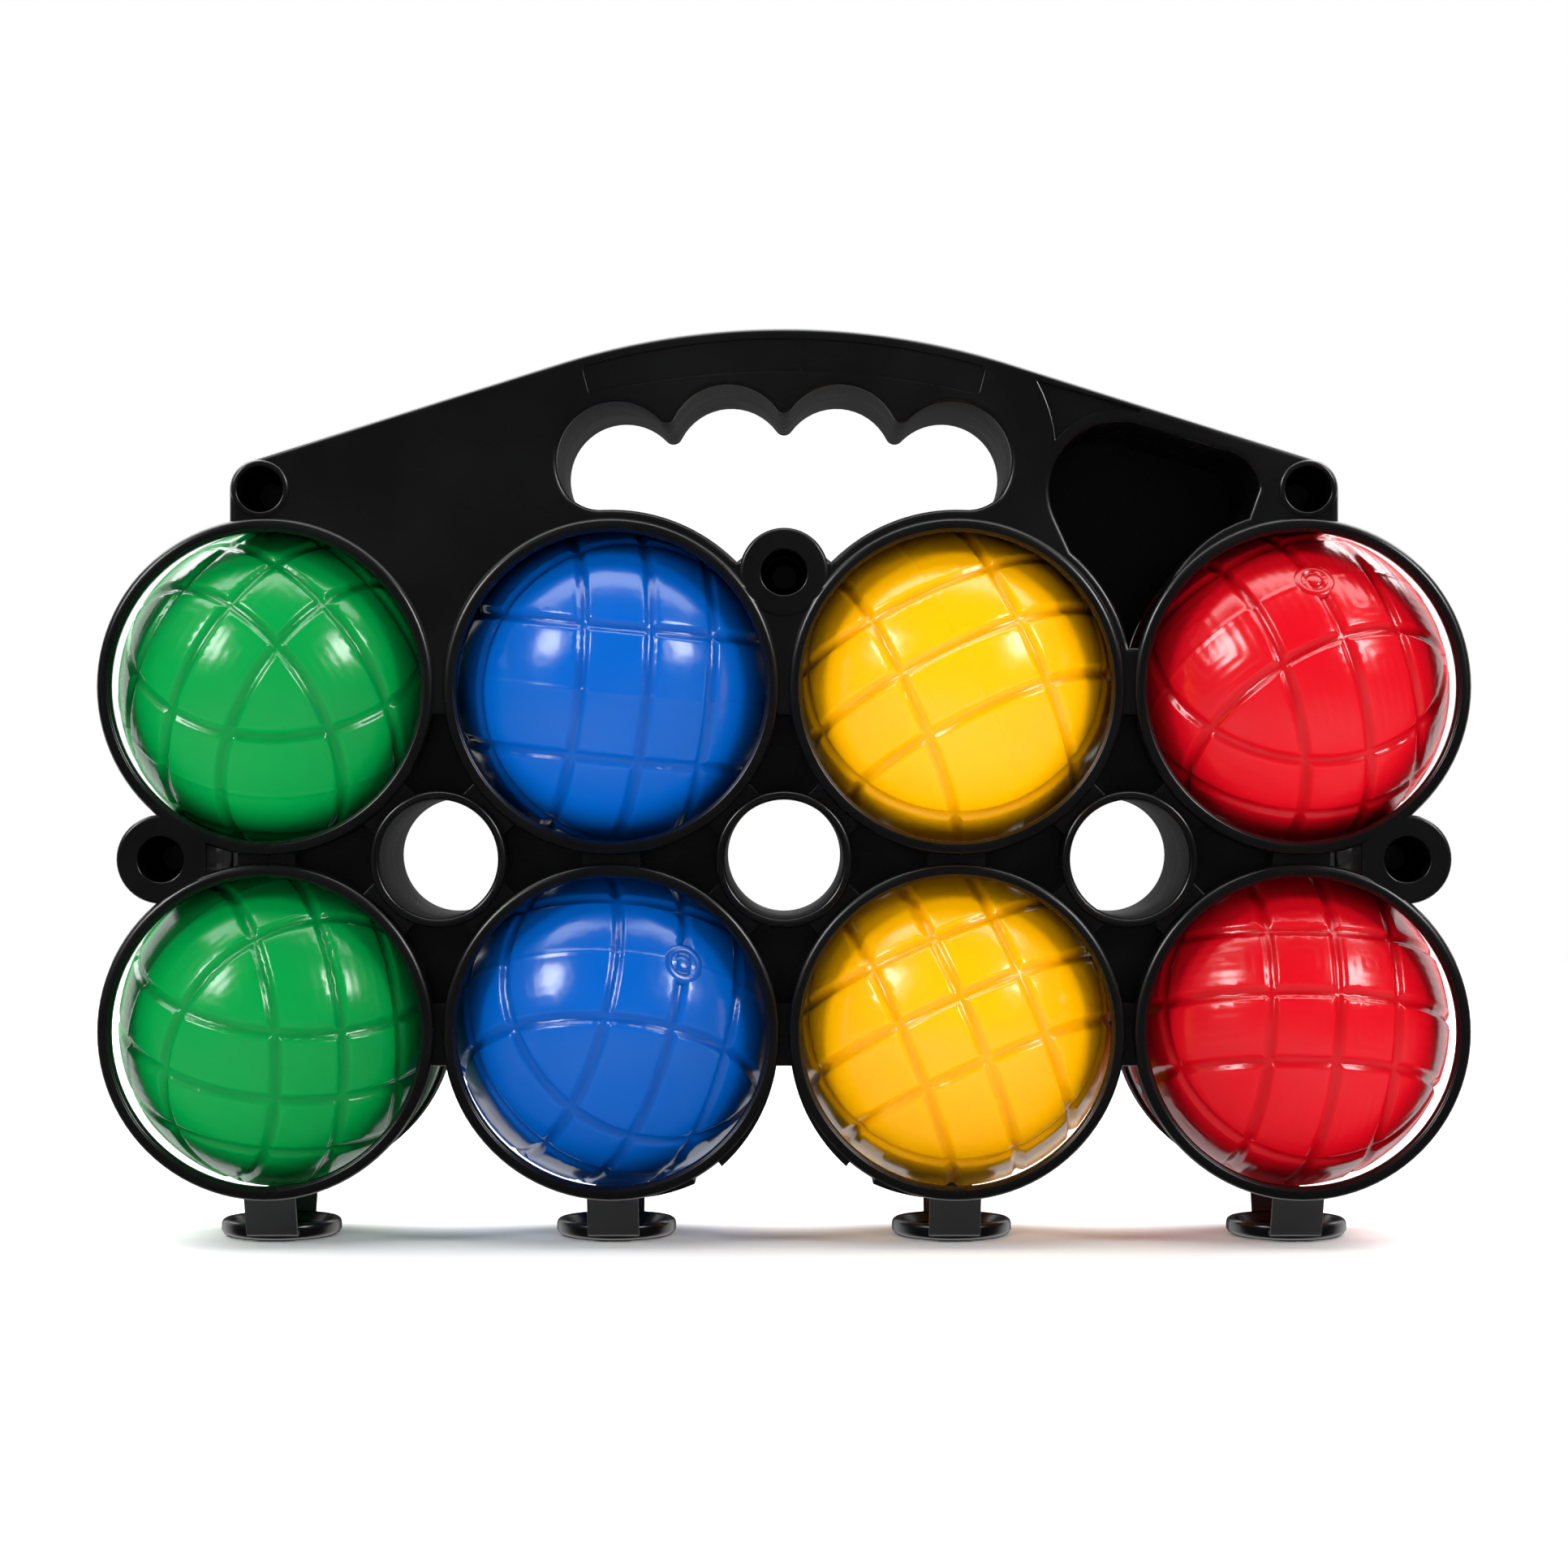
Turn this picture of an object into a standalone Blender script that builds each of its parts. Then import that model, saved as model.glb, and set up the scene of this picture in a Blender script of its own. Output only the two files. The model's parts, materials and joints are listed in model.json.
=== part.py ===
"""Bocce ball set: eight filled balls held in a two-part carrier with a four-finger handle.

Metres, +Z up. The origin is on the floor under the middle of the set, the front is at -Y.
The carrier is two moulded half frames that face each other across the XZ plane. A thin
strap joins every lower hoop to a round foot, in front and behind, so the case opens like
a clam on its four feet.
"""
import math

import bmesh
import bpy
from mathutils import Matrix, Vector

# ---- Driving dimensions (metres) ----
COLUMNS = 4
GAP = 0.0003                    # between pieces that touch

BALL_RADIUS = 0.0400
BALL_WALL = 0.0018
FILL_ROOM = 0.0009              # between the filling and the shell
PLUG_RADIUS = 0.00235
PLUG_INSIDE = 0.0004            # how far the plug stands into the shell

HALF_DEPTH = 0.0290             # from the middle plane to the face of a half frame
HOOP_SEAT = 0.0165              # distance from the middle plane where a hoop's bore ends
HOOP_LEAD_IN = 0.0035           # length of the flared end that cups the ball
HOOP_WALL = 0.0034
HOOP_PLAY = 0.00070             # between a hoop's bore and the ball
HOOP_SPACING = 0.0019           # between two neighbouring hoops
BALL_ROOM = 0.00075             # around a ball, between its two hoops

WALL = 0.0022                   # skirt walls of the half frames
FACE_WALL = 0.0025              # front walls of the half frames
BURY = 0.0004                   # how far joined shapes reach into each other
PAST = 0.0010                   # how far a cutter runs past what it cuts
PLATE_SETBACK = 0.0010          # faces set back from the hoops' rims, one for each part
BOSS_SETBACK = 0.0005
BRIDGE_SETBACK = 0.0028
WEB_SETBACK = 0.0090
POCKET_FLOOR_SETBACK = 0.0025   # of the closed floor behind the jack pocket
BRIDGE_WIDTH = 0.0140
BRIDGE_HEIGHT = 0.0105          # of the bridges between two hoops side by side
BRIDGE_DROP = 2 / 3             # share of it below the hoops' centres

TUBE_BORE = 0.0143
TUBE_WALL = 0.0022

SOCKET_RADIUS = 0.0055
BOSS_WALL = 0.0052
CORNER_BOSS_WALL = 0.0019
CENTRE_BOSS_ROOM = 0.0019       # between the centre boss and the bores beside it
SIDE_BOSS_ROOM = 0.0008         # between a side boss and the bores beside it
CORNER_BOSS_ROOM = 0.0011       # between a corner socket and the ball under it
CORNER_BOSS_OUT = 0.0013        # from the outer column to a corner boss, sideways
ARM_SHARE = 0.9                 # height of a side boss's arm, as a share of the boss
PEG_PLAY = 0.0008
PEG_LENGTH = 0.0080
PEG_TAPER = 0.75                # tip to shank
SOCKET_FLOOR = 0.0080           # from the middle plane to the bottom of a rear socket

FINGERS = 4
FINGER_PITCH = 0.0268
FINGER_DEPTH = 0.0093           # from the top of a finger hollow to the tooth beside it
GRIP_HEIGHT = 0.0131            # from the finger hollows to the top edge of the handle
GRIP_OPENING = 0.0307           # from the sill of the hand hole to the middle finger hollows
SILL_RISE = 0.0012              # from the top of the hoops to the sill
SILL_INSET = 0.0095             # how much narrower the hand hole is at its sill, each side
HAND_HOLE_FLOOR = 0.0019        # from the centre socket's middle to the hole's lower edge
HANDLE_ARC = 0.1800             # radius of the handle's top edge

POCKET_RADIUS = 0.0164          # the round end of the jack pocket
POCKET_END_RADIUS = 0.0097      # its smaller, outer end
POCKET_BESIDE_HOLE = 0.0094     # between the hand hole and the pocket
POCKET_BELOW_EDGE = 0.0036      # between the handle's top arc and the pocket's round end
POCKET_END_INSET = 0.0203       # from the outer column in to the middle of the outer end
POCKET_SLOPE = 72               # degrees, where the pocket's two ends are joined
POCKET_NECK = 0.0084            # from the hoops' centres up to the pocket's lower end
BEHIND_HOOP = 0.93              # hidden corners of an outline, as a share of a hoop's bore

FOOT_RADIUS = 0.01475
FOOT_HEIGHT = 0.0040
FOOT_SOLE = 0.0016              # floor of the foot's dish
FOOT_RIM = 0.0020
FOOT_CHAMFER = (0.0015, 0.0012)     # inwards and upwards, at the sole
FOOT_ROUND = (0.0006, 0.0008)       # inwards and downwards, at the rim
FOOT_DROP = 0.0113              # from the lowest point of the hoops to the floor
STRAP_WIDTH = 0.0125
STRAP_THICKNESS = 0.0012
STRAP_SETBACK = 0.0080          # where a strap leaves its hoop, from the hoop's rim
HINGE_HEIGHT = 0.0019
HINGE_ROOM = 0.0005             # between a foot and the hinge line beside it
TONGUE_BELOW = 0.0008           # a foot's tongue, below and above the hinge's height
TONGUE_ABOVE = 0.0006
HINGE_SLACK = 0.0010            # bare film on each side of a strap's hinge line

HOOP_SEGMENTS = 24
TUBE_SEGMENTS = 18
SOCKET_SEGMENTS = 12
FOOT_SEGMENTS = 20
BALL_SEGMENTS = 20
CORE_SEGMENTS = 12
PLUG_SEGMENTS = 12

# ---- Derived positions ----
HOOP_BORE = math.sqrt(BALL_RADIUS ** 2 - HOOP_SEAT ** 2) + HOOP_PLAY
HOOP_OUTER = HOOP_BORE + HOOP_WALL
HOOP_END = HOOP_SEAT - HOOP_LEAD_IN
HOOP_MOUTH = math.sqrt(BALL_RADIUS ** 2 - HOOP_END ** 2) + HOOP_PLAY + GAP / 2
PITCH = 2 * HOOP_OUTER + HOOP_SPACING
COLUMN_X = [(column - (COLUMNS - 1) / 2) * PITCH for column in range(COLUMNS)]
OUTER_X = COLUMN_X[-1]
LOWER_Z = FOOT_DROP + HOOP_OUTER
UPPER_Z = LOWER_Z + PITCH
MIDDLE_Z = (LOWER_Z + UPPER_Z) / 2
MATING_Y = GAP / 2
PLATE_FRONT = HALF_DEPTH - PLATE_SETBACK
BOSS_FRONT = HALF_DEPTH - BOSS_SETBACK
BRIDGE_FRONT = HALF_DEPTH - BRIDGE_SETBACK
WEB_FRONT = HALF_DEPTH - WEB_SETBACK
BRIDGE_BELOW = BRIDGE_HEIGHT * BRIDGE_DROP

TUBE_OUTER = TUBE_BORE + TUBE_WALL
TUBE_CENTRES = [(x + PITCH / 2, MIDDLE_Z) for x in COLUMN_X[:-1]]

BOSS_OUTER = SOCKET_RADIUS + BOSS_WALL
CORNER_BOSS_OUTER = SOCKET_RADIUS + CORNER_BOSS_WALL


def beside_two_hoops(clear_of_bore):
    """Distance from the line through two hoops to a boss that nestles between them."""
    return math.sqrt((HOOP_BORE + BOSS_OUTER + clear_of_bore) ** 2 - (PITCH / 2) ** 2)


CENTRE_BOSS = (0.0, UPPER_Z + beside_two_hoops(CENTRE_BOSS_ROOM))
SIDE_BOSS_X = OUTER_X + beside_two_hoops(SIDE_BOSS_ROOM)
CORNER_BOSS = (OUTER_X + CORNER_BOSS_OUT,
               UPPER_Z + BALL_RADIUS + BALL_ROOM + CORNER_BOSS_ROOM + SOCKET_RADIUS)
BOSSES = [
    (CENTRE_BOSS, BOSS_OUTER),
    ((-SIDE_BOSS_X, MIDDLE_Z), BOSS_OUTER),
    ((SIDE_BOSS_X, MIDDLE_Z), BOSS_OUTER),
    ((-CORNER_BOSS[0], CORNER_BOSS[1]), CORNER_BOSS_OUTER),
    (CORNER_BOSS, CORNER_BOSS_OUTER),
]

SILL_Z = UPPER_Z + HOOP_OUTER + SILL_RISE
FINGER_RADIUS = ((FINGER_PITCH / 2) ** 2 + FINGER_DEPTH ** 2) / (2 * FINGER_DEPTH)
FINGER_X = [(finger - (FINGERS - 1) / 2) * FINGER_PITCH for finger in range(FINGERS)]
HAND_HOLE_HALF = FINGER_X[-1] + FINGER_RADIUS
# The handle's top edge is an arc whose height gives the middle finger hollows their opening.
ARC_CENTRE_Z = (SILL_Z + GRIP_OPENING + GRIP_HEIGHT
                - math.sqrt(HANDLE_ARC ** 2 - (FINGER_PITCH / 2) ** 2))
# Direction of the straight shoulder that touches both the top arc and the corner's round.
CORNER_OFFSET = Vector((CORNER_BOSS[0], CORNER_BOSS[1] - ARC_CENTRE_Z))
SHOULDER_ANGLE = (math.atan2(CORNER_OFFSET.y, CORNER_OFFSET.x)
                  + math.acos((HANDLE_ARC - CORNER_BOSS_OUTER) / CORNER_OFFSET.length))
PLATE_BOTTOM_Z = UPPER_Z - BRIDGE_BELOW
WEB_BOTTOM_Z = LOWER_Z - BRIDGE_BELOW

HINGE_Y = FOOT_RADIUS + HINGE_ROOM
FEET_PIVOT = Vector((0.0, HINGE_Y, HINGE_HEIGHT))
FRONT_PIVOT = Vector((0.0, -HINGE_Y, HINGE_HEIGHT))

BALL_COLOURS = ["green", "blue", "yellow", "red"]
# Where each ball's filler plug points, from the ball's centre.
PLUG_DIRECTIONS = {
    "green_ball_upper": (0.63, 0.61, 0.49),
    "blue_ball_upper": (-0.23, 0.97, 0.07),
    "yellow_ball_upper": (-0.01, 0.97, -0.26),
    "red_ball_upper": (0.06, -0.77, 0.64),
    "green_ball_lower": (0.87, 0.49, 0.08),
    "blue_ball_lower": (0.44, -0.79, 0.42),
    "yellow_ball_lower": (-0.40, 0.21, 0.89),
    "red_ball_lower": (0.02, 0.26, 0.97),
}


# ---- Shape tools ----
def circle(x, z, radius, segments):
    """Corner points of a round outline."""
    return [(x + radius * math.cos(2 * math.pi * step / segments),
             z + radius * math.sin(2 * math.pi * step / segments)) for step in range(segments)]


def arc(x, z, radius, start, end, steps):
    """Points along part of a circle, both ends included; angles in radians."""
    angles = [start + (end - start) * step / steps for step in range(steps + 1)]
    return [(x + radius * math.cos(angle), z + radius * math.sin(angle)) for angle in angles]


def rectangle(left, right, low, high):
    return [(left, low), (right, low), (right, high), (left, high)]


def stack(name, axis, sections):
    """Closed solid through outlines of equal length, each at its own level along an axis."""
    at = {"X": lambda u, v, level: (level, u, v),
          "Y": lambda u, v, level: (u, level, v),
          "Z": lambda u, v, level: (u, v, level)}[axis]
    shape = bmesh.new()
    rings = [[shape.verts.new(at(u, v, level)) for u, v in outline] for outline, level in sections]
    shape.faces.new(rings[0])
    shape.faces.new(rings[-1])
    for ring, following in zip(rings, rings[1:]):
        for corner in range(len(ring)):
            beside = (corner + 1) % len(ring)
            shape.faces.new((ring[corner], ring[beside], following[beside], following[corner]))
    bmesh.ops.recalc_face_normals(shape, faces=shape.faces)
    return solid(name, shape)


def solid(name, shape):
    mesh = bpy.data.meshes.new(name)
    shape.to_mesh(mesh)
    shape.free()
    made = bpy.data.objects.new(name, mesh)
    bpy.context.scene.collection.objects.link(made)
    return made


def prism(name, outline, start, end):
    """Outline in the XZ plane, carried along Y."""
    return stack(name, "Y", [(outline, start), (outline, end)])


def sphere(name, radius, segments):
    shape = bmesh.new()
    bmesh.ops.create_uvsphere(shape, u_segments=segments, v_segments=segments // 2, radius=radius)
    return solid(name, shape)


def combine(target, add=(), cut=()):
    """Joins and cuts closed solids, keeps the result in target and drops the tools.

    The manifold solver is used because the exact one leaves open edges where the many
    round walls of a half frame meet.
    """
    for operation, tools in (("UNION", add), ("DIFFERENCE", cut)):
        for tool in tools:
            modifier = target.modifiers.new(tool.name, "BOOLEAN")
            modifier.solver = "MANIFOLD"
            modifier.operation = operation
            modifier.object = tool
    seen = target.evaluated_get(bpy.context.evaluated_depsgraph_get())
    result = bpy.data.meshes.new_from_object(seen)
    target.modifiers.clear()
    target.data = result
    for tool in [*add, *cut]:
        bpy.data.objects.remove(tool)
    return target


def plastic(name, colour, roughness):
    """One moulded plastic as a Principled BSDF."""
    made = bpy.data.materials.new(name)
    made.use_nodes = True
    shader = made.node_tree.nodes["Principled BSDF"]
    shader.inputs["Base Color"].default_value = (*colour, 1.0)
    shader.inputs["Roughness"].default_value = roughness
    shader.inputs["Metallic"].default_value = 0.0
    return made


def finish(piece, material, pivot, smooth=40):
    """Gives a piece its material and shading and hangs it on its pivot."""
    piece.data.materials.clear()
    piece.data.materials.append(material)
    piece.data.shade_smooth()
    piece.data.set_sharp_from_angle(angle=math.radians(smooth))
    place = Vector(pivot["place"])
    piece.data.transform(Matrix.Translation(-place))
    piece.parent = pivot
    return piece


def pivot_empty(name, place, parent=None):
    """Empty on a joint's axis; its place in the world is kept for the pieces it carries."""
    empty = bpy.data.objects.new(name, None)
    empty.empty_display_size = 0.02
    bpy.context.scene.collection.objects.link(empty)
    empty["place"] = tuple(place)
    empty.location = Vector(place)
    if parent is not None:
        empty.parent = parent
        empty.location -= Vector(parent["place"])
    return empty


# ---- Outlines of the half frames, in the XZ plane ----
def plate_outline(inset):
    """The upper plate: handle arc, two straight shoulders, round corners, upright sides."""
    corner_x, corner_z = CORNER_BOSS
    corner_round = CORNER_BOSS_OUTER - inset
    right = arc(corner_x, corner_z, corner_round, 0, SHOULDER_ANGLE, 5)
    top = arc(0, ARC_CENTRE_Z, HANDLE_ARC - inset, SHOULDER_ANGLE, math.pi - SHOULDER_ANGLE, 14)
    left = arc(-corner_x, corner_z, corner_round, math.pi - SHOULDER_ANGLE, math.pi, 5)
    side = corner_x + corner_round
    bottom = PLATE_BOTTOM_Z + inset
    foot = [(-side, UPPER_Z), (-OUTER_X, bottom), (OUTER_X, bottom), (side, UPPER_Z)]
    return right + top + left + foot


def handle_top(x):
    return ARC_CENTRE_Z + math.sqrt(HANDLE_ARC ** 2 - x ** 2)


def finger_centre(x):
    """Centre of a finger hollow, at one grip height under the handle's top arc."""
    return x, handle_top(x) - GRIP_HEIGHT - FINGER_RADIUS


def behind_hoop(x, z, degrees):
    """Hidden corner of an outline, inside a hoop's bore."""
    angle, reach = math.radians(degrees), HOOP_BORE * BEHIND_HOOP
    return x + reach * math.cos(angle), z + reach * math.sin(angle)


def hand_hole_outline(grow):
    """The hand hole without its finger hollows; its lower edge lies behind the hoops."""
    reach = HAND_HOLE_HALF + grow
    shoulder_z = finger_centre(FINGER_X[-1])[1]
    sill_half = HAND_HOLE_HALF - SILL_INSET + grow
    floor = CENTRE_BOSS[1] + HAND_HOLE_FLOOR - grow
    inner = HOOP_SPACING / 2 + HOOP_WALL + BOSS_OUTER * 2
    return [(-reach, shoulder_z), (-sill_half, SILL_Z - grow), (-inner, floor), (inner, floor),
            (sill_half, SILL_Z - grow), (reach, shoulder_z)]


def pocket_outline(grow):
    """Jack pocket between the two right-hand upper hoops, narrowing downwards."""
    jack_x = HAND_HOLE_HALF + POCKET_BESIDE_HOLE + POCKET_RADIUS
    end_x = OUTER_X - POCKET_END_INSET
    high_z = handle_top(jack_x) - POCKET_BELOW_EDGE - POCKET_RADIUS
    slope = math.radians(POCKET_SLOPE)
    jack = arc(jack_x, high_z, POCKET_RADIUS + grow, math.pi, slope, 7)
    end = arc(end_x, high_z, POCKET_END_RADIUS + grow, slope, 0, 4)
    middle = (COLUMN_X[2] + OUTER_X) / 2
    neck = HOOP_SPACING / 2 + HOOP_WALL
    floor = UPPER_Z + POCKET_NECK - grow
    lower = [behind_hoop(OUTER_X, UPPER_Z, 117), (middle + neck, floor),
             (middle - neck, floor), behind_hoop(COLUMN_X[2], UPPER_Z, 56)]
    return jack + end + lower


# ---- The half frames ----
def ring_centres():
    return [(x, z) for z in (UPPER_Z, LOWER_Z) for x in COLUMN_X]


def hollow_behind_plate(side):
    """The room behind the upper plate, open towards the middle plane."""
    room = prism("room", plate_outline(WALL), side * (PLATE_FRONT - FACE_WALL), -side * PAST)
    deep, past = side * HALF_DEPTH, -side * PAST * 2
    keep = [prism("keep_hole", hand_hole_outline(WALL), deep, past),
            prism("keep_pocket", pocket_outline(WALL), deep, past)]
    for x in FINGER_X:
        outline = circle(*finger_centre(x), FINGER_RADIUS + WALL, TUBE_SEGMENTS)
        keep.append(prism("keep_finger", outline, deep, past))
    for x in COLUMN_X:
        outline = circle(x, UPPER_Z, HOOP_OUTER - BURY, HOOP_SEGMENTS)
        keep.append(prism("keep_hoop", outline, deep, past))
    for centre, radius in BOSSES:
        outline = circle(*centre, radius - BURY, SOCKET_SEGMENTS)
        keep.append(prism("keep_boss", outline, deep, past))
    return combine(room, cut=keep)


def bridges(side):
    """Short blocks that tie hoops and tubes to each other, set back from the face."""
    front, back = side * BRIDGE_FRONT, side * HOOP_END
    half = BRIDGE_WIDTH / 2
    reach = HOOP_SPACING
    made = []
    for left in COLUMN_X[:-1]:
        middle = left + PITCH / 2
        for row, z in (("upper", UPPER_Z), ("lower", LOWER_Z)):
            outline = rectangle(middle - reach, middle + reach,
                                z - BRIDGE_BELOW, z + BRIDGE_HEIGHT - BRIDGE_BELOW)
            made.append(prism("bridge_" + row, outline, front, back))
    for x in COLUMN_X:
        outline = rectangle(x - half, x + half, MIDDLE_Z - reach, MIDDLE_Z + reach)
        made.append(prism("bridge_rows", outline, front, back))
    length = PITCH / math.sqrt(2) - HOOP_BORE
    for tube_x, tube_z in TUBE_CENTRES:
        for turn in range(4):
            angle = math.radians(45 + 90 * turn)
            along = Vector((math.cos(angle), math.sin(angle)))
            across = Vector((-along.y, along.x)) * half
            start = Vector((tube_x, tube_z)) + along * (TUBE_BORE + TUBE_WALL / 2)
            end = Vector((tube_x, tube_z)) + along * (length - HOOP_WALL / 2)
            corners = [start - across, end - across, end + across, start + across]
            made.append(prism("bridge_tube", [tuple(corner) for corner in corners], front, back))
    return made


def straps(side):
    """Thin straps from the lower hoops down to the feet."""
    top_z = LOWER_Z - HOOP_OUTER + HOOP_WALL / 2
    end_y = HINGE_Y + HINGE_SLACK
    top_y = HALF_DEPTH - STRAP_SETBACK
    outline = [(side * top_y, top_z), (side * (top_y + STRAP_THICKNESS), top_z),
               (side * (end_y + STRAP_THICKNESS), HINGE_HEIGHT), (side * end_y, HINGE_HEIGHT)]
    width = STRAP_WIDTH / 2
    return [stack("strap", "X", [(outline, x - width), (outline, x + width)]) for x in COLUMN_X]


def hoop_cutter(x, z, side):
    """Bore of a hoop, its flared inner end, and the ball's room behind it."""
    bore = circle(x, z, HOOP_BORE, HOOP_SEGMENTS)
    mouth = circle(x, z, HOOP_MOUTH, HOOP_SEGMENTS)
    room = circle(x, z, BALL_RADIUS + BALL_ROOM, HOOP_SEGMENTS)
    step = side * (HOOP_END - BURY)
    return stack("hoop_cutter", "Y", [(bore, side * (HALF_DEPTH + PAST)), (bore, side * HOOP_SEAT),
                                      (mouth, step), (room, step), (room, -side * PAST)])


def half_frame(name, side, extra=()):
    """One moulded half; side is -1 for the front and 1 for the back.

    The extra solids belong to this half only and are joined on before the bores are cut.
    """
    face, mating = side * HALF_DEPTH, side * MATING_Y
    past_face, past_mating = side * (HALF_DEPTH + PAST), -side * PAST
    frame = prism(name, plate_outline(0), side * PLATE_FRONT, mating)
    openings = [prism("hand_hole", hand_hole_outline(0), past_face, past_mating),
                prism("pocket", pocket_outline(0), past_face, past_mating)]
    for x in FINGER_X:
        outline = circle(*finger_centre(x), FINGER_RADIUS, TUBE_SEGMENTS)
        openings.append(prism("finger", outline, past_face, past_mating))
    combine(frame, cut=openings + [hollow_behind_plate(side)])

    web = rectangle(-OUTER_X, OUTER_X, WEB_BOTTOM_Z, PLATE_BOTTOM_Z + WALL / 2)
    add = [prism("web", web, side * WEB_FRONT, side * (WEB_FRONT - FACE_WALL))]
    for x, z in ring_centres():
        outline = circle(x, z, HOOP_OUTER, HOOP_SEGMENTS)
        add.append(prism("hoop", outline, face, side * HOOP_END))
    for centre in TUBE_CENTRES:
        add.append(prism("tube", circle(*centre, TUBE_OUTER, TUBE_SEGMENTS), face, mating))
    for centre, radius in BOSSES:
        outline = circle(*centre, radius, SOCKET_SEGMENTS)
        add.append(prism("boss", outline, side * BOSS_FRONT, mating))
    for end in (-1, 1):
        arm = rectangle(*sorted((end * OUTER_X, end * SIDE_BOSS_X)),
                        MIDDLE_Z - BOSS_OUTER * ARM_SHARE, MIDDLE_Z + BOSS_OUTER * ARM_SHARE)
        add.append(prism("arm", arm, side * BRIDGE_FRONT, side * HOOP_END))
    add += [*bridges(side), *straps(side), *extra]

    cut = [hoop_cutter(x, z, side) for x, z in ring_centres()]
    for centre in TUBE_CENTRES:
        outline = circle(*centre, TUBE_BORE, TUBE_SEGMENTS)
        cut.append(prism("tube_bore", outline, past_face, past_mating))
    socket_end = past_mating if side < 0 else side * SOCKET_FLOOR
    for centre, _ in BOSSES:
        outline = circle(*centre, SOCKET_RADIUS, SOCKET_SEGMENTS)
        cut.append(prism("socket", outline, past_face, socket_end))
    return combine(frame, add=add, cut=cut)


def make_front_half():
    return half_frame("front_half", -1)


def make_back_half():
    """The rear half also carries the pegs and the pocket's closed floor."""
    shank_radius = SOCKET_RADIUS - PEG_PLAY
    floor_back = HALF_DEPTH - POCKET_FLOOR_SETBACK
    extra = [prism("pocket_floor", pocket_outline(WALL / 2), floor_back - FACE_WALL, floor_back)]
    for (x, z), _ in BOSSES:
        shank = circle(x, z, shank_radius, SOCKET_SEGMENTS)
        tip = circle(x, z, shank_radius * PEG_TAPER, SOCKET_SEGMENTS)
        extra.append(stack("peg", "Y", [(shank, SOCKET_FLOOR / 2), (shank, -PEG_LENGTH / 2),
                                        (tip, -PEG_LENGTH)]))
    return half_frame("back_half", 1, extra)


# ---- Feet ----
def make_foot(number, x):
    """Round dished foot with a short tongue towards each strap."""
    name = f"foot_{number}"
    rim, dish = FOOT_RADIUS - FOOT_RIM, FOOT_RADIUS - 2 * FOOT_RIM
    levels = [(FOOT_RADIUS - FOOT_CHAMFER[0], 0), (FOOT_RADIUS, FOOT_CHAMFER[1]),
              (FOOT_RADIUS, FOOT_HEIGHT - FOOT_ROUND[1]), (FOOT_RADIUS - FOOT_ROUND[0], FOOT_HEIGHT),
              (rim, FOOT_HEIGHT), (dish, FOOT_SOLE)]
    foot = stack(name, "Z", [(circle(x, 0, radius, FOOT_SEGMENTS), z) for radius, z in levels])
    half = STRAP_WIDTH / 2
    tongues = []
    for side in (-1, 1):
        near, far = sorted((side * (rim - BURY), side * (HINGE_Y - HINGE_SLACK)))
        outline = rectangle(near, far, HINGE_HEIGHT - TONGUE_BELOW, HINGE_HEIGHT + TONGUE_ABOVE)
        tongues.append(stack("tongue", "X", [(outline, x - half), (outline, x + half)]))
    return combine(foot, add=tongues)


# ---- Balls ----
def make_ball(name, direction):
    """Shell, plug and filling of one ball, all around the ball's own centre."""
    turn = Vector(direction).to_track_quat("Z", "Y").to_matrix().to_4x4()
    inner = BALL_RADIUS - BALL_WALL
    shell = sphere(name + "_shell", BALL_RADIUS, BALL_SEGMENTS)
    hollow = sphere("hollow", inner, CORE_SEGMENTS)
    hole_outline = circle(0, 0, PLUG_RADIUS + GAP, PLUG_SEGMENTS)
    hole = stack("filler_hole", "Z", [(hole_outline, inner - 2 * BALL_WALL),
                                      (hole_outline, BALL_RADIUS + PAST)])
    hole.data.transform(turn)
    combine(shell, cut=[hollow, hole])

    plug_outline = circle(0, 0, PLUG_RADIUS, PLUG_SEGMENTS)
    plug = stack(name + "_plug", "Z", [(plug_outline, inner - PLUG_INSIDE),
                                       (plug_outline, BALL_RADIUS - GAP)])
    plug.data.transform(turn)
    filling = sphere(name + "_filling", inner - FILL_ROOM, CORE_SEGMENTS)
    return shell, plug, filling


# ---- The whole set ----
def clear_scene():
    for thing in list(bpy.data.objects):
        bpy.data.objects.remove(thing, do_unlink=True)


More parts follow.
